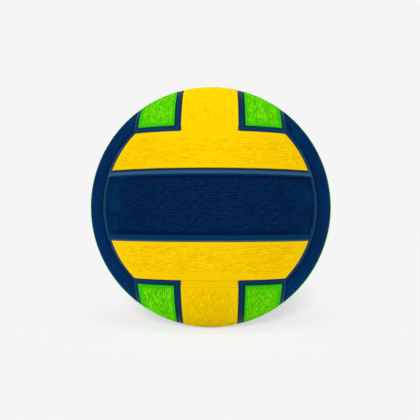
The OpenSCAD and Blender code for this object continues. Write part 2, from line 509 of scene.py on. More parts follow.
def direction_at(latitude, turn):
    """Directions at a latitude, turned so far to the side of the front"""
    return np.stack([
        np.cos(latitude) * np.sin(turn),
        -np.cos(latitude) * np.cos(turn),
        np.sin(latitude)], axis=-1)


def front_latitude(direction):
    """Latitudes of directions where the front is the pole"""
    return np.arcsin(np.clip(-direction[:, 1], -1, 1))


def shoulder_lines(sizes):
    """Distances inwards from a panel edge and depths below the face, from the foot to the face"""
    lean = sizes.wall_lean
    r = sizes.shoulder
    inset = r * (1 - math.sin(lean)) / math.cos(lean)
    foot = sizes.channel_depth + WALL_BELOW
    lines = [(-foot * math.tan(lean), foot)]
    for i in range(SHOULDER_STEPS, -1, -1):
        turn = (math.pi / 2 - lean) * i / SHOULDER_STEPS
        lines.append((inset - r * math.sin(turn), r * (1 - math.cos(turn))))
    return lines


def edge_depth(lines, distance):
    """Depth below the face at a distance inwards from one panel edge"""
    return np.interp(distance, [d for d, _ in lines], [h for _, h in lines])


def spread(low, high, step):
    """Even places from low to high, about a step apart"""
    count = max(2, round((high - low) / step))
    return [low + (high - low) * i / count for i in range(count + 1)]


def channel_crown(from_middle, sizes):
    """Rise of a channel floor at a distance from the channel's middle"""
    out = np.clip(np.abs(from_middle) / (sizes.channel_width / 2), 0, 1)
    return sizes.crown * (1 - out ** 2)


def on_ball(latitude, along, end_latitude, end_distance, radius):
    """Directions at a latitude and at a place along a strip.
    In its end zones a line keeps its distance from the end edge, and between them its share."""
    def longitude(distance):
        sine = np.sin(end_latitude + distance / radius) / np.cos(latitude)
        return np.arccos(np.clip(sine, -1, 1))
    turn = np.where(end_distance < END_ZONE,
                    np.sign(along) * longitude(end_distance),
                    along * longitude(END_ZONE))
    return direction_at(latitude, turn)


def add_grid(columns, rows):
    """A flat grid from -1 to 1 with so many vertices each way"""
    deselect_all()
    bpy.ops.mesh.primitive_grid_add(
        x_subdivisions=columns - 1, y_subdivisions=rows - 1, size=2)
    return bpy.context.object


def grid_lines(points, columns, rows):
    """The column and the row of each point of such a grid"""
    return [np.rint((points[:, axis] + 1) / 2 * (count - 1)).astype(int)
            for axis, count in enumerate((columns, rows))]


def make_slab(name, columns, rows):
    """A grid with so many vertices each way that is extruded into a slab, its face at 1"""
    piece = add_grid(columns, rows)
    piece.name = piece.data.name = name
    bpy.ops.object.mode_set(mode="EDIT")
    bpy.ops.mesh.select_all(action="SELECT")
    bpy.ops.mesh.extrude_region_move(TRANSFORM_OT_translate={"value": (0, 0, 1)})
    bpy.ops.mesh.select_all(action="SELECT")
    bpy.ops.mesh.normals_make_consistent(inside=False)
    bpy.ops.object.mode_set(mode="OBJECT")
    return piece


def coarsen_foot(piece, columns, rows, i, j, top):
    """Dissolves most lines of the hidden underside, which has no grooves"""
    mesh = piece.data
    pairs = np.empty(len(mesh.edges) * 2, int)
    mesh.edges.foreach_get("vertices", pairs)
    a, b = pairs.reshape(-1, 2).T

    def spare(line, count):
        return ((line[a] == line[b]) & (line[a] % KEPT_LINES != 0)
                & (line[a] > 0) & (line[a] < count - 1))

    select(piece)
    bpy.ops.object.mode_set(mode="EDIT")
    bpy.ops.mesh.select_mode(type="EDGE")
    bpy.ops.mesh.select_all(action="DESELECT")
    bpy.ops.object.mode_set(mode="OBJECT")
    mesh.edges.foreach_set("select", ~top[a] & ~top[b] & (spare(j, rows) | spare(i, columns)))
    bpy.ops.object.mode_set(mode="EDIT")
    bpy.ops.mesh.dissolve_edges(use_verts=True)
    bpy.ops.mesh.select_mode(type="VERT")
    bpy.ops.object.mode_set(mode="OBJECT")


def model_strip(name, low, high, sizes, layout, tongues):
    """A slab wrapped on the front of the ball: a strip of panel with rounded shoulders.
    It keeps the distances from its edges, in millimetres, and which side of it is the face."""
    lines = shoulder_lines(sizes)
    radius = layout.radius
    width = (high - low) * radius
    side_lines = [d for d, _ in lines]
    foot, face = side_lines[0], side_lines[-1]
    across = (side_lines[:-1] + spread(face, width - face, ACROSS_STEP)
              + [width - d for d in reversed(side_lines[:-1])])
    ends = side_lines + spread(face, END_ZONE, END_STEP)[1:-1]
    if tongues:
        far_edge = -2 * layout.half_channel * radius
        ends = spread(far_edge - foot - TONGUE_OVERLAP, foot - TONGUE_GAP, TONGUE_STEP) + ends
    columns = ([(-1, d) for d in ends] + [(s, END_ZONE) for s in spread(-1, 1, ALONG_SHARE)]
               + [(1, d) for d in reversed(ends)])

    piece = make_slab(name, len(columns), len(across))
    flat = points_of(piece)
    top = flat[:, 2] > 0.5
    i, j = grid_lines(flat, len(columns), len(across))
    along, end_distance = (np.array(c)[i] for c in zip(*columns))
    latitude = low + np.array(across)[j] / radius
    direction = on_ball(latitude, along, layout.end_edge, end_distance, radius)
    from_end = (front_latitude(direction) - layout.end_edge) * radius
    from_side = np.minimum(latitude - low, high - latitude) * radius
    side_depth = edge_depth(lines, from_side)
    end_depth = edge_depth(lines, from_end)
    if tongues:
        on_tongue = from_end < foot - TONGUE_GAP / 2
        floor = sizes.channel_depth - TONGUE_RISE - channel_crown(
            from_end + layout.half_channel * radius, sizes)
        to_channel = np.where(on_tongue, from_side - TONGUE_WALL_REACH, from_side)
        end_depth = np.where(on_tongue, floor, end_depth)
    else:
        on_tongue = np.zeros(len(flat), bool)
        # The next face's tongue meets the outer side there, with no channel in between
        by_tongue = (high - latitude < latitude - low) & (
            np.abs(direction[:, 0]) * radius < sizes.middle_width / 2)
        to_channel = np.minimum(np.where(by_tongue, END_ZONE, from_side), from_end)
    depth = np.where(top, np.maximum(side_depth, end_depth), sizes.panel_depth)
    set_points(piece, direction * (radius - depth)[:, None])
    set_values(piece, "from_side", from_side / MM)
    set_values(piece, "from_end", from_end / MM)
    set_values(piece, "face_side", top)
    set_values(piece, "tongue", on_tongue)
    set_values(piece, "to_channel", to_channel / MM)
    coarsen_foot(piece, len(columns), len(across), i, j, top)
    return piece


def mould_panel(strip, node, face, turned, rubber, seed, lift=PLAIN, contrast=1, seam=0):
    """One panel: a copy of a strip, grooved and turned to its place.
    Lift is the state of its inner wall, from painted shade to painted light, contrast how strong
    its streaks and the painted shade and light of its grooves are, and seam how dark the painted
    shade along the joint lines at its tongues is."""
    settings = bpy.context.scene
    sizes = settings.ball_sizes
    piece = copy_of(strip)
    piece.name = piece.data.name = "moulded_" + node
    mark_edges(piece, rubber, seed, sizes, lift, seam)
    cut_grooves(piece, rubber, seed, sizes, settings.ball_grip, contrast,
                valve=node == VALVE_PANEL)
    turn = face_turn(face)
    if turned:
        turn = turn @ Matrix.Rotation(math.pi, 4, "Y")
    piece.matrix_world = turn
    select(piece)
    bpy.ops.object.transform_apply(location=False, rotation=True, scale=False)
    bpy.ops.object.shade_smooth_by_angle(angle=PANEL_CREASE)
    if node == VALVE_PANEL:
        cut_valve_hole(piece, sizes)
    give_material(piece, rubber_material(rubber))
    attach(piece, ROOT)
    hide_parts(node)


def mark_edges(piece, rubber, seed, sizes, lift, seam):
    """Keeps where a panel's walls of channel rubber and painted shade, rim line with painted
    shade at its right end, painted sheen and highlight at its ends, wall state and painted shade
    along its joints are
    """
    look = RUBBER_LOOKS[rubber]
    tongue, top = values_of(piece, "tongue"), values_of(piece, "face_side")
    inside, from_end = values_of(piece, "to_channel"), values_of(piece, "from_end")
    u, v = strip_place(points_of(piece), sizes.ball_radius)
    reach = SHADED_WALL_REACH * (lift == WALL_SHADED)
    set_values(piece, "wall", top * fade(inside, *(place + reach for place in WALL_FADE)))
    # A navy panel's end line is painted shade at its right end and a painted highlight at its
    # left one
    end_shade_and_light = band(from_end, *END_BAND)
    rim = np.maximum(band(inside, *RIM_BAND), end_shade_and_light * (u > 0)) * patches(u, v, "rim", seed)
    set_values(piece, "rim", look["rim"] * rim * (1 - tongue))
    # Painted sheen near the ends of a navy panel
    near_end = fade(from_end, *END_SHEEN_FADE) * patches(u, v, "end_sheen", seed)
    pale = np.maximum(near_end, end_shade_and_light * (u < 0))
    set_values(piece, "pale", look["pale"] * pale * (1 - tongue))
    set_values(piece, "lift", np.where(v < OUTER_HALF, lift, PLAIN))
    # Painted shade along the joint lines at the tongues
    joint = np.maximum(tongue * fade(from_end - from_end.min(), *TONGUE_FADE),
                       band(from_end, *JOINT_BAND))
    set_values(piece, "seam", seam * joint * top)


def cut_grooves(piece, rubber, seed, sizes, grip, contrast, valve):
    """Presses the wavy grip grooves into the face, inside its smooth margins"""
    inner_margin, outer_margin, end_margin = MARGINS[rubber]
    points = points_of(piece)
    u, v = strip_place(points, sizes.ball_radius)
    ragged = streaks(u, v, RAGGED_NOISE, seed)
    side = values_of(piece, "from_side") + RAGGED_SIDE * ragged
    side_margin = np.where(v > OUTER_HALF, outer_margin, inner_margin)
    end = values_of(piece, "from_end") + RAGGED_END * ragged
    mask = (smoothstep(side_margin - SIDE_FADE, side_margin + SIDE_FADE, side)
            * smoothstep(end_margin - END_FADE, end_margin + END_FADE, end)
            * values_of(piece, "face_side"))
    if valve:
        mask *= smoothstep(0, VALVE_FADE, np.hypot(u, v) - grip.valve_land / MM)
    weights = mask * patches(u, v, "groove_depth", seed)
    group = piece.vertex_groups.new(name="pressed")
    for index in np.flatnonzero(weights > LEAST_PRESS):
        group.add([int(index)], float(weights[index]), "REPLACE")
    wave_map(piece, u, v, grip, seed)
    texture = bpy.data.textures.new("grip_waves", "WOOD")
    texture.wood_type = "BANDNOISE"
    texture.noise_basis = "IMPROVED_PERLIN"
    texture.noise_basis_2 = "SIN"
    texture.noise_scale = WAVE_NOISE
    texture.turbulence = grip.wander
    apply_modifier(piece, "DISPLACE", "Grooves", texture=texture, texture_coords="UV",
                   uv_layer="waves", vertex_group="pressed", direction="NORMAL",
                   strength=grip.depth, mid_level=1)
    piece.data.uv_layers.remove(piece.data.uv_layers["waves"])
    sunk = np.linalg.norm(points, axis=1) - np.linalg.norm(points_of(piece), axis=1)
    groove = np.clip(sunk / grip.depth, 0, 1)
    worn = sum(part * streaks(u, v, grain, seed) for part, grain in WORN_STREAKS)
    # Deeper points of a groove are painted darker and shallower ones lighter: painted shade in
    # the grooves and painted light on the ridges
    change = STREAK_TONE * worn + GROOVE_TONE * (GROOVE_MEAN - groove) * mask
    set_values(piece, "grip", mask)
    set_values(piece, "ridge", np.clip(MIDDLE_TONE + contrast * change, 0, 1))
    for name in ("from_side", "from_end", "face_side", "to_channel"):
        piece.data.attributes.remove(piece.data.attributes[name])
    piece.vertex_groups.clear()


def streaks(u, v, grain, seed):
    """Noise over a strip, whose grain is the length and width of its features and its number"""
    along, across, number = grain
    depth = NOISE_STRIDE * (number + seed)
    return np.array([noise.noise((a / along, b / across, depth)) for a, b in zip(u, v)])


def patches(u, v, kind, seed):
    """Shares that change from place to place over a strip"""
    grain, level, swing, least = PATCHES[kind]
    return np.clip(level + swing * streaks(u, v, grain, seed), least, 1)


def strip_place(points, radius):
    """Millimetres along and across the strip, from its middle"""
    x, y, z = unit(points).T
    latitude = np.arcsin(z)
    turn = np.arctan2(x, -y)
    return turn * np.cos(latitude) * radius / MM, latitude * radius / MM


def wave_map(piece, u, v, grip, seed):
    """A UV map in which the wood texture's bands run along the strip at the grooves' pitch.
    The texture's bands follow the sum of both coordinates, and its noise each of them."""
    bands = BAND_PITCH * v / (grip.pitch / MM)
    drift = WAVE_NOISE / (2 * math.sqrt(2)) * u / (grip.wave / MM)
    layer = piece.data.uv_layers.new(name="waves")
    corners = np.empty(len(piece.data.loops), int)
    piece.data.loops.foreach_get("vertex_index", corners)
    start = [stride * seed for stride in WAVE_STRIDE]
    place = np.stack([bands + drift + start[0], -drift + start[1]], axis=-1)
    layer.data.foreach_set("uv", place[corners].astype(np.float32).ravel())


def valve_cutter(sizes):
    """A plug along the back axis whose mouth flares into a rounded lip"""
    radius = sizes.valve_radius
    face = math.sqrt(sizes.ball_radius ** 2 - (radius + LIP) ** 2)
    start, end = face - CUTTER_DEPTH, face - LIP
    deselect_all()
    bpy.ops.mesh.primitive_cylinder_add(
        vertices=CUTTER_SIDES, radius=radius, depth=end - start,
        location=(0, (start + end) / 2, 0), rotation=(-math.pi / 2, 0, 0))
    cutter = bpy.context.object
    bpy.ops.object.transform_apply(location=True, rotation=True, scale=True)
    bpy.ops.object.mode_set(mode="EDIT")
    bpy.ops.mesh.select_all(action="DESELECT")
    bpy.ops.object.mode_set(mode="OBJECT")
    for polygon in cutter.data.polygons:
        polygon.select = polygon.normal.y > END_NORMAL_SHARE
    bpy.ops.object.mode_set(mode="EDIT")
    bpy.ops.mesh.select_mode(type="FACE")
    rings = [(radius + LIP * (1 - math.cos(t)), end + LIP * math.sin(t)) for t in LIP_ANGLES]
    rings.append((radius + 2 * LIP, face + LIP))
    old_radius, old_y = radius, end
    for new_radius, new_y in rings:
        bpy.ops.mesh.extrude_region_move(
            TRANSFORM_OT_translate={"value": (0, new_y - old_y, 0)})
        grow = new_radius / old_radius
        bpy.ops.transform.resize(value=(grow, 1, grow), center_override=(0, new_y, 0))
        old_radius, old_y = new_radius, new_y
    bpy.ops.mesh.select_mode(type="VERT")
    bpy.ops.object.mode_set(mode="OBJECT")
    return cutter


def cut_valve_hole(piece, sizes):
    cutter = valve_cutter(sizes)
    apply_modifier(piece, "BOOLEAN", "Valve hole", object=cutter, operation="DIFFERENCE",
                   solver="EXACT")
    bpy.data.objects.remove(cutter)


def base_lines(layout):
    """Latitudes from seam to seam of a face, close together in the channels"""
    radius = layout.radius
    channel_start = layout.middle_edge * radius - FINE_REACH
    channel_end = layout.outer_start * radius + FINE_REACH
    seam_start = layout.outer_edge * radius - FINE_REACH
    half = [0.0]
    for low, high, step in (
            (0, channel_start, SEAT_STEP),
            (channel_start, channel_end, CHANNEL_STEP),
            (channel_end, seam_start, SEAT_STEP),
            (seam_start, FACE_SEAM * radius, SEAM_STEP)):
        half += spread(low, high, step)[1:]
    half = np.array(half) / radius
    return np.concatenate([-half[:0:-1], half])


def model_base_face(sizes, layout):
    """The front sixth of the channel base, with crowned channel floors between the panel seats"""
    lines = base_lines(layout)
    count = len(lines)
    face = add_grid(count, count)
    i, j = grid_lines(points_of(face), count, count)
    latitude = lines[j]
    # On the seam its columns meet the lines of the next face
    part = np.arcsin(np.clip(np.sin(lines[i]) / math.cos(FACE_SEAM), -1, 1)) / (math.pi / 4)
    turn = part * np.arccos(np.clip(math.sin(FACE_SEAM) / np.cos(latitude), -1, 1))
    direction = direction_at(latitude, turn)
    channel_middle = layout.middle_edge + layout.half_channel
    from_middle = layout.radius * np.minimum.reduce([
        np.abs(np.abs(latitude) - channel_middle),
        FACE_SEAM - np.abs(latitude),
        np.abs(front_latitude(direction) - FACE_SEAM)])
    floor = sizes.channel_depth - channel_crown(from_middle, sizes)
    in_channel = from_middle < sizes.channel_width / 2 + FLOOR_REACH
    depth = np.where(in_channel, floor, sizes.panel_depth)
    set_points(face, direction * (layout.radius - depth)[:, None])
    set_values(face, "from_middle", from_middle / MM)
    return face


def join_base_faces(front):
    """Turns copies of the front sixth to the other faces and merges all six"""
    others = []
    for face in FACES:
        if face != "front":
            turned = copy_of(front)
            turned.matrix_world = face_turn(face)
            others.append(turned)
    select(front, *others)
    bpy.ops.object.transform_apply(location=False, rotation=True, scale=False)
    bpy.ops.object.join()
    bpy.ops.object.mode_set(mode="EDIT")
    bpy.ops.mesh.select_all(action="SELECT")
    bpy.ops.mesh.remove_doubles(threshold=MERGE_DISTANCE)
    bpy.ops.mesh.normals_make_consistent(inside=False)
    bpy.ops.object.mode_set(mode="OBJECT")


def paint_channel_highlights(base):
    """Keeps how strong the painted highlight along each channel's crest is, and which channel has
    a painted highlight in its corners
    """
    x, y, z = unit(points_of(base)).T

    def zone(height, half_width):
        along = (np.abs(y) > ALONG_MIDDLE["least_y"]) & (np.abs(x) < ALONG_MIDDLE["most_x"])
        return along & (np.abs(z - height) < half_width)

    beside = ((np.abs(x) > BESIDE_SIDES["least_x"]) & (np.abs(y) > BESIDE_SIDES["least_y"])
              & (np.abs(z) < BESIDE_SIDES["most_z"]))
    height, half_width = ALONG_MIDDLE["height"], ALONG_MIDDLE["half_width"]
    rubbed = np.full(len(x), float(CREST_HIGHLIGHT["elsewhere"]))
    rubbed[beside] = CREST_HIGHLIGHT["beside"]
    rubbed[zone(height, half_width)] = CREST_HIGHLIGHT["above"]
    rubbed[zone(-height, half_width)] = CREST_HIGHLIGHT["below"]
    set_values(base, "rubbed", rubbed)
    set_values(base, "rubbed_corner", zone(-HIGHLIGHT_CORNER["height"], HIGHLIGHT_CORNER["half_width"]))


def give_base_inside(base, sizes):
    """Adds the base's inner wall, which faces the centre of the ball"""
    deselect_all()
    bpy.ops.mesh.primitive_ico_sphere_add(
        subdivisions=INNER_DIVISIONS, radius=sizes.ball_radius - sizes.base_depth)
    inside = bpy.context.object
    bpy.ops.object.mode_set(mode="EDIT")
    bpy.ops.mesh.select_all(action="SELECT")
    bpy.ops.mesh.flip_normals()
    bpy.ops.object.mode_set(mode="OBJECT")
    set_values(inside, "from_middle", np.full(len(inside.data.vertices), OFF_CHANNEL))
    select(base, inside)
    bpy.ops.object.join()


def set_inputs(tree, node, inputs):
    """Sets or links a node's inputs, which are given by their names or numbers"""
    for key, value in inputs.items():
        if isinstance(value, bpy.types.NodeSocket):
            tree.links.new(value, node.inputs[key])
        else:
            node.inputs[key].default_value = value


def add_node(tree, kind, place, inputs, **settings):
    node = tree.nodes.new(kind)
    node.location = place
    for key, value in settings.items():
        setattr(node, key, value)
    set_inputs(tree, node, inputs)
    return node


def mix_colours(tree, place, factor, a, b):
    node = add_node(tree, "ShaderNodeMix", place, {0: factor, 6: a, 7: b}, data_type="RGBA")
    return node.outputs[2]


def multiply(tree, place, a, b):
    node = add_node(tree, "ShaderNodeMath", place, {0: a, 1: b}, operation="MULTIPLY")
    return node.outputs[0]


def map_range(tree, place, value, source, target):
    """Turns the source range of a value into the target range, and keeps it inside that"""
    node = add_node(tree, "ShaderNodeMapRange", place, {
        "Value": value, "From Min": source[0], "From Max": source[1],
        "To Min": target[0], "To Max": target[1]})
    return node.outputs["Result"]


def kept_value(tree, name, height):
    """What the mesh keeps under a name"""
    return add_node(tree, "ShaderNodeAttribute", (-900, height), {},
                    attribute_name=name).outputs["Fac"]


def speckle(tree, place, scale, detail=2, roughness=0.5):
    """Noise in the ball's own space"""
    where = add_node(tree, "ShaderNodeTexCoord", (place[0] - 200, place[1]), {})
    return add_node(tree, "ShaderNodeTexNoise", place, {
        "Vector": where.outputs["Object"], "Scale": scale, "Detail": detail,
        "Roughness": roughness}).outputs["Fac"]


def new_material(name, surface):
    """A material with a plain surface, whose inputs are set"""
    material = bpy.data.materials.new(name)
    material.use_nodes = True
    tree = material.node_tree
    tree.nodes.clear()
    shader = add_node(tree, "ShaderNodeBsdfPrincipled", (600, 0), surface)
    add_node(tree, "ShaderNodeOutputMaterial", (900, 0), {"Surface": shader.outputs["BSDF"]})
    return material, tree, shader


def add_relief(tree, shader, height, strength, distance):
    """Fine relief that only the light shows"""
    bump = add_node(tree, "ShaderNodeBump", (300, -300), {
        "Height": height, "Strength": strength, "Distance": distance})
    set_inputs(tree, shader, {"Normal": bump.outputs["Normal"]})


def opaque(rgb):
    return (*rgb, 1)


def shade(rgb, brightness):
    """A colour made so many times as bright"""
    return opaque([min(1, c * brightness) for c in rgb])


def rubber_material(rubber):
    """Matt grip rubber with smooth margins, with painted shade in its grooves and painted light
    on its ridges, and channel rubber with painted shade on the walls where it meets a channel
    """
    name = "moulded_" + rubber
    if name in bpy.data.materials:
        return bpy.data.materials[name]
    look = RUBBER_LOOKS[rubber]
    material, tree, shader = new_material(name, {
        "Diffuse Roughness": 1, "Specular IOR Level": 0, "Sheen Weight": look["sheen"],
        "Sheen Roughness": 0.4, "Sheen Tint": opaque(look["sheen_tint"])})
    mask = kept_value(tree, "grip", 300)
    grain = speckle(tree, (-700, -300), scale=1400, detail=2, roughness=0.6)
    walls = wall_tone(tree, look)
    face = face_tone(tree, rubber, look, mask, grain)
    lined = line_tone(tree, look, face)
    wall = kept_value(tree, "wall", -100)
    tone = mix_colours(
        tree, (400, 300), map_range(tree, (200, 0), wall, (0, 1), (0, look["wall"])),
        lined, walls)
    rough = map_range(tree, (100, -200), mask, (0, 1), (look["smooth"], look["rough"]))
    set_inputs(tree, shader, {"Base Color": tone, "Roughness": rough})
    add_relief(tree, shader, grain, strength=0.25, distance=0.05 * MM)
    return material


def face_tone(tree, rubber, look, mask, grain):
    """Colour of a panel's face: streaked where it is grooved, with painted shade in the grooves
    and painted light on the ridges, plain in its margins, and clouded and grained all over"""
    colours = bpy.context.scene.ball_colours
    key = rubber.split("_")[0]
    grip, smooth = getattr(colours, key), getattr(colours, key + "_smooth")
    ridge = kept_value(tree, "ridge", 500)
    cloud = speckle(tree, (-700, 700), scale=45, detail=3, roughness=0.6)
    low = mix_colours(
        tree, (-500, 500), map_range(tree, (-700, 500), ridge, (0, MIDDLE_TONE), (1, 0)),
        opaque(grip), opaque(look["low"]))
    ridged = mix_colours(
        tree, (-300, 500), map_range(tree, (-500, 300), ridge, (MIDDLE_TONE, 1), (0, 1)),
        low, opaque(look["high"]))
    face = mix_colours(tree, (-100, 500), mask, opaque(smooth), ridged)
    cloudy = mix_colours(
        tree, (0, 500), map_range(tree, (-300, 700), cloud, CLOUD_RANGE, (0, look["cloud"])),
        face, shade(grip, CLOUD_SHADE))
    return mix_colours(
        tree, (100, 300), map_range(tree, (-300, -100), grain, GRAIN_RANGE, (0, look["grain"])),
        cloudy, opaque(look["high"]))


def line_tone(tree, look, face):
    """Adds the painted shade along the joints, the painted sheen and highlight at the ends, the
    rim line with painted shade at the right ends, and channel rubber with some painted highlight
    on the tongues to a face
    """
    colours = bpy.context.scene.ball_colours
    seamed = mix_colours(
        tree, (130, 600), kept_value(tree, "seam", -1300), face, opaque(look["low"]))
    sheened = mix_colours(
        tree, (150, 500), kept_value(tree, "pale", -700), seamed, opaque(PAINTED_END_SHEEN))
    rimmed = mix_colours(
        tree, (170, 400), kept_value(tree, "rim", -900), sheened, opaque(RIM_LINE))
    tongue_rubber_and_highlight = [(1 - TONGUE_HIGHLIGHT) * plain + TONGUE_HIGHLIGHT * painted_crest_light
                     for plain, painted_crest_light in zip(colours.channel, colours.painted_crest_light)]
    tongue = kept_value(tree, "tongue", 100)
    return mix_colours(
        tree, (200, 300), map_range(tree, (0, 100), tongue, (0, 1), (0, look["tongue"])),
        rimmed, opaque(tongue_rubber_and_highlight))


def wall_tone(tree, look):
    """Colour of a panel's walls: channel rubber with painted shade, with deeper painted shade on
    walls that face down and painted light on walls that face up
    """
    lift = kept_value(tree, "lift", -1100)
    shaded = mix_colours(
        tree, (0, -500), map_range(tree, (-300, -500), lift, (WALL_SHADED, PLAIN), (0, 1)),
        opaque(PAINTED_WALL_SHADE), opaque(look["wall_rubber_and_shade"]))
    return mix_colours(
        tree, (200, -500), map_range(tree, (-300, -700), lift, (PLAIN, WALL_LIT), (0, 1)),
        shaded, opaque(PAINTED_WALL_LIGHT))


def channel_material():
    """Smooth satin rubber, with a painted highlight along the crest of a channel and painted
    shade in its corners, which in the channel below the front and back middle panels are a
    painted highlight instead
    """
    colours = bpy.context.scene.ball_colours
    material, tree, shader = new_material("channel_rubber", {
        "Roughness": 0.35, "Specular IOR Level": 0.006, "Specular Tint": (0.15, 0.6, 1, 1)})
    from_middle = kept_value(tree, "from_middle", 200)
    rubbed = kept_value(tree, "rubbed", 0)
    has_corner_highlight = kept_value(tree, "rubbed_corner", -300)
    cloud = speckle(tree, (-700, 400), scale=60, detail=3, roughness=0.6)
    clouded = mix_colours(
        tree, (-300, 300), map_range(tree, (-500, 400), cloud, CLOUD_RANGE, (0, CHANNEL_CLOUD)),
        opaque(colours.channel), shade(colours.channel, CHANNEL_CLOUD_SHADE))
    on_crest = map_range(tree, (-500, 200), from_middle, CREST_FADE, (1, 0))
    crested = mix_colours(tree, (-150, 300), multiply(tree, (-300, 100), on_crest, rubbed),
                          clouded, opaque(colours.painted_crest_light))
    at_edge = map_range(tree, (-500, -100), from_middle, HIGHLIGHT_START, (0, HIGHLIGHT_SHARE))
    lit = mix_colours(tree, (-80, 200), multiply(tree, (-300, -100), at_edge, has_corner_highlight),
                      crested, opaque(PAINTED_WALL_LIGHT))
    corner = mix_colours(
        tree, (-300, -300), has_corner_highlight, opaque(CORNER_SHADE), opaque(PAINTED_WALL_LIGHT))
    in_corner = map_range(tree, (-500, 0), from_middle, SHADE_START, (0, SHADE_SHARE))
    tone = mix_colours(tree, (0, 200), in_corner, lit, corner)
    set_inputs(tree, shader, {"Base Color": tone})
    grain = speckle(tree, (-300, -200), scale=1800)
    add_relief(tree, shader, grain, strength=0.1, distance=0.03 * MM)
    return material


def layer_material(name, rgb, roughness, scale, contrast):
    """A mottled material for the valve and for the layers inside the ball"""
    material, tree, shader = new_material(name, {"Roughness": roughness})
    cloud = speckle(tree, (-700, 300), scale, detail=4, roughness=0.6)
    tone = mix_colours(
        tree, (-200, 200), map_range(tree, (-450, 300), cloud, MOTTLE_RANGE, (0, 1)),
        shade(rgb, 1 - contrast), shade(rgb, 1 + contrast))
    set_inputs(tree, shader, {"Base Color": tone})
    add_relief(tree, shader, cloud, strength=0.3, distance=0.1 * MM)
    return material


def thread_material():
    """Wound nylon thread: fine lines that cross in many directions"""
    material, tree, shader = new_material("winding_thread", {"Roughness": 0.7})
    where = add_node(tree, "ShaderNodeTexCoord", (-1100, 200), {})
    lines = None
    for k, turn in enumerate(THREAD_TURNS):
        height = 300 - 250 * k
        place = add_node(tree, "ShaderNodeMapping", (-900, height), {
            "Vector": where.outputs["Object"], "Rotation": turn})
        wave = add_node(tree, "ShaderNodeTexWave", (-700, height), {
            "Vector": place.outputs["Vector"], "Scale": 320, "Distortion": 1.5}).outputs["Fac"]
        lines = wave if lines is None else mix_colours(tree, (-400, height), 0.5, lines, wave)
    tone = mix_colours(tree, (100, 200), lines, opaque(THREAD_LOW), opaque(THREAD_HIGH))
    set_inputs(tree, shader, {"Base Color": tone})
    add_relief(tree, shader, lines, strength=0.5, distance=0.2 * MM)
    return material


def dress_layer(node):
    """Gives a node that keeps its CAD mesh a material of its own"""
    give_material(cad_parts[node], layer_material(*LAYER_LOOKS[node]))


class BALL_OT_channel_base(bpy.types.Operator):
    """Model the base rubber with its crowned channels"""

    bl_idname = "ball.channel_base"
    bl_label = "Channel Base"

    def execute(self, context):
        sizes = context.scene.ball_sizes
        base = model_base_face(sizes, Layout(sizes))
        join_base_faces(base)
        base.name = base.data.name = "crowned_channel_base"
        paint_channel_highlights(base)
        give_base_inside(base, sizes)
        cut_valve_hole(base, sizes)
        select(base)
        bpy.ops.object.shade_smooth_by_angle(angle=BASE_CREASE)
        give_material(base, channel_material())
        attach(base, ROOT)
        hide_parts("channel_base")
        return {"FINISHED"}


class BALL_OT_outer_panels(bpy.types.Operator):
    """Mould the two outer panels of every face"""

    bl_idname = "ball.outer_panels"
    bl_label = "Outer Panels"

    def execute(self, context):
        sizes = context.scene.ball_sizes
        layout = Layout(sizes)
        strip = model_strip("outer_strip", layout.outer_start, layout.outer_edge,
                            sizes, layout, tongues=False)
        for seed, (node, face, turned, rubber) in enumerate(OUTER_PANELS, OUTER_SEED):
            lift = PLAIN
            if face in ("front", "back"):
                lift = WALL_LIT if turned else WALL_SHADED
            mould_panel(strip, node, face, turned, rubber, seed, lift)
        bpy.data.objects.remove(strip)
        return {"FINISHED"}


class BALL_OT_middle_panels(bpy.types.Operator):
    """Mould the middle panel of every face with its tongues"""

    bl_idname = "ball.middle_panels"
    bl_label = "Middle Panels"

    def execute(self, context):
        sizes = context.scene.ball_sizes
        layout = Layout(sizes)
        strip = model_strip("middle_strip", -layout.middle_edge, layout.middle_edge,
                            sizes, layout, tongues=True)
        for seed, (node, face, rubber, contrast, seam) in enumerate(MIDDLE_PANELS, MIDDLE_SEED):
            mould_panel(strip, node, face, False, rubber, seed, contrast=contrast, seam=seam)
        bpy.data.objects.remove(strip)
        return {"FINISHED"}


class BALL_OT_valve(bpy.types.Operator):
    """Give the valve its rubber"""

    bl_idname = "ball.valve"
    bl_label = "Valve"

    def execute(self, context):
        for node in ("valve_housing", "valve_plug"):
            dress_layer(node)
        return {"FINISHED"}


class BALL_OT_inner_layers(bpy.types.Operator):
    """Give the layers inside the ball their materials"""

    bl_idname = "ball.inner_layers"
    bl_label = "Inner Layers"

    def execute(self, context):
        for node in ("bladder", "bladder_patch", "carcass_rubber"):
            dress_layer(node)
        give_material(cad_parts["thread_winding"], thread_material())
        return {"FINISHED"}


class BALL_OT_stage(bpy.types.Operator):
    """Set up the camera, the pale floor and backdrop, and the soft light"""

    bl_idname = "ball.stage"
    bl_label = "Stage"

    def execute(self, context):
        stage = context.scene.ball_stage
        radius = context.scene.ball_sizes.ball_radius
        add_camera(stage)
        floor = add_floor(stage, radius)
        add_lights(stage, floor)
        set_world(stage)
        context.scene.view_settings.view_transform = "Standard"
        return {"FINISHED"}


def add_camera(stage):
    """A camera that sees the ball as the photograph does"""
    turn = (Matrix.Rotation(stage.camera_roll, 4, "Y")
            @ Matrix.Rotation(-stage.camera_drop, 4, "X")
            @ Matrix.Rotation(-stage.camera_turn, 4, "Z"))
    bpy.ops.object.camera_add()
    camera = bpy.context.object
    camera.name = "camera"
    camera.matrix_world = (turn.inverted()
                           @ Matrix.Translation((0, -stage.camera_distance, 0))
                           @ Matrix.Rotation(math.pi / 2, 4, "X"))
    camera.data.sensor_width = SENSOR
    camera.data.lens = FOCAL_PX / PHOTO_PX * SENSOR
    camera.data.shift_x = (PHOTO_PX / 2 - BALL_PX[0]) / PHOTO_PX
    camera.data.shift_y = (BALL_PX[1] - PHOTO_PX / 2) / PHOTO_PX
    camera.data.dof.use_dof = False
    bpy.context.scene.camera = camera


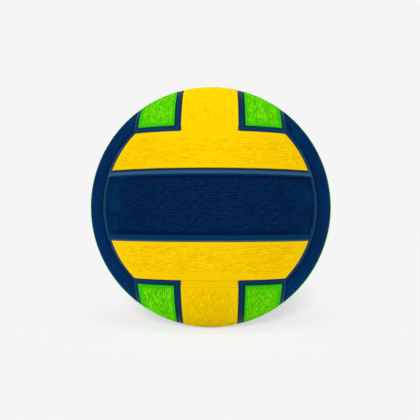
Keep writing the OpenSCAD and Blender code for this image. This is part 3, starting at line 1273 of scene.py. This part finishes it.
def add_lights(stage, floor):
    """Softboxes that light all but the floor, and lamps that light only the floor"""
    groups = {}
    for only, state in ((True, "INCLUDE"), (False, "EXCLUDE")):
        group = groups[only] = bpy.data.collections.new("floor_" + state.lower())
        group.objects.link(floor)
        group.collection_objects[0].light_linking.link_state = state
    for name, way, width, strength, floor_only in LIGHTS:
        turn = Vector(way).to_track_quat("Z", "Y").to_euler()
        bpy.ops.object.light_add(type="SUN", rotation=turn)
        light = bpy.context.object
        light.name = name
        light.data.energy = math.pi * strength * stage.lamps
        light.data.angle = math.radians(width)
        light.light_linking.receiver_collection = groups[floor_only]


def seen_directly(tree, place):
    """One for what the camera sees, also in a reflection or through glass"""
    path = add_node(tree, "ShaderNodeLightPath", (place[0] - 400, place[1]), {})
    seen = path.outputs["Is Camera Ray"]
    for k, kind in enumerate(("Is Glossy Ray", "Is Transmission Ray")):
        seen = add_node(tree, "ShaderNodeMath", (place[0] - 200 + 100 * k, place[1]),
                        {0: seen, 1: path.outputs[kind]}, operation="MAXIMUM").outputs[0]
    return seen


def add_floor(stage, radius):
    """A pale floor that the camera sees as bright as the backdrop, with part of its shadows"""
    bpy.ops.mesh.primitive_plane_add(size=FLOOR_SIZE, location=(0, 0, -radius))
    floor = bpy.context.object
    floor.name = "floor"
    material, tree, shader = new_material("pale_floor", {
        "Base Color": opaque([FLOOR_WHITE] * 3), "Roughness": 1, "Specular IOR Level": 0})
    lit = FLOOR_WHITE * FLOOR_LIGHT
    glow_strength = (stage.backdrop - stage.shadow * lit) / (1 - stage.shadow)
    glow = add_node(tree, "ShaderNodeEmission", (600, 200), {
        "Color": opaque([1, 1, 1]), "Strength": glow_strength})
    even = multiply(tree, (250, 400), seen_directly(tree, (0, 400)), 1 - stage.shadow)
    mix = add_node(tree, "ShaderNodeMixShader", (800, 100), {
        0: even, 1: shader.outputs["BSDF"], 2: glow.outputs["Emission"]})
    output = next(node for node in tree.nodes if node.type == "OUTPUT_MATERIAL")
    set_inputs(tree, output, {"Surface": mix.outputs[0]})
    floor.data.materials.append(material)
    return floor


def set_world(stage):
    """Even light from all round, behind a backdrop of the floor's own tone"""
    world = bpy.data.worlds.new("studio")
    bpy.context.scene.world = world
    world.use_nodes = True
    tree = world.node_tree
    tree.nodes.clear()
    dome = add_node(tree, "ShaderNodeBackground", (-200, 100), {
        "Color": opaque([1, 1, 1]), "Strength": stage.dome})
    backdrop = add_node(tree, "ShaderNodeBackground", (-200, -100), {
        "Color": opaque([stage.backdrop] * 3), "Strength": 1})
    mix = add_node(tree, "ShaderNodeMixShader", (0, 0), {
        0: seen_directly(tree, (-400, 200)), 1: dome.outputs[0], 2: backdrop.outputs[0]})
    add_node(tree, "ShaderNodeOutputWorld", (200, 0), {"Surface": mix.outputs[0]})


class BALL_PT_sidebar(bpy.types.Panel):
    """Sizes, colours and steps of the ball"""

    bl_idname = "BALL_PT_sidebar"
    bl_label = "Water Polo Ball"
    bl_space_type = "VIEW_3D"
    bl_region_type = "UI"
    bl_category = "Ball"

    def draw(self, context):
        for group in GROUPS:
            settings = getattr(context.scene, group)
            for key in settings.__annotations__:
                self.layout.prop(settings, key)
        for step in STEPS:
            self.layout.operator(step.bl_idname)


GROUPS = {
    "ball_sizes": BallSizes,
    "ball_grip": GripSizes,
    "ball_colours": RubberColours,
    "ball_stage": StageSettings,
}
STEPS = [
    BALL_OT_channel_base,
    BALL_OT_outer_panels,
    BALL_OT_middle_panels,
    BALL_OT_valve,
    BALL_OT_inner_layers,
    BALL_OT_stage,
]


def register():
    for group, kind in GROUPS.items():
        bpy.utils.register_class(kind)
        setattr(bpy.types.Scene, group, bpy.props.PointerProperty(type=kind))
    for step in STEPS:
        bpy.utils.register_class(step)
    bpy.utils.register_class(BALL_PT_sidebar)


def unregister():
    bpy.utils.unregister_class(BALL_PT_sidebar)
    for step in reversed(STEPS):
        bpy.utils.unregister_class(step)
    for group, kind in GROUPS.items():
        delattr(bpy.types.Scene, group)
        bpy.utils.unregister_class(kind)


def main():
    register()
    bpy.ops.ball.channel_base()
    bpy.ops.ball.outer_panels()
    bpy.ops.ball.middle_panels()
    bpy.ops.ball.valve()
    bpy.ops.ball.inner_layers()
    bpy.ops.ball.stage()


if __name__ == "__main__":
    main()
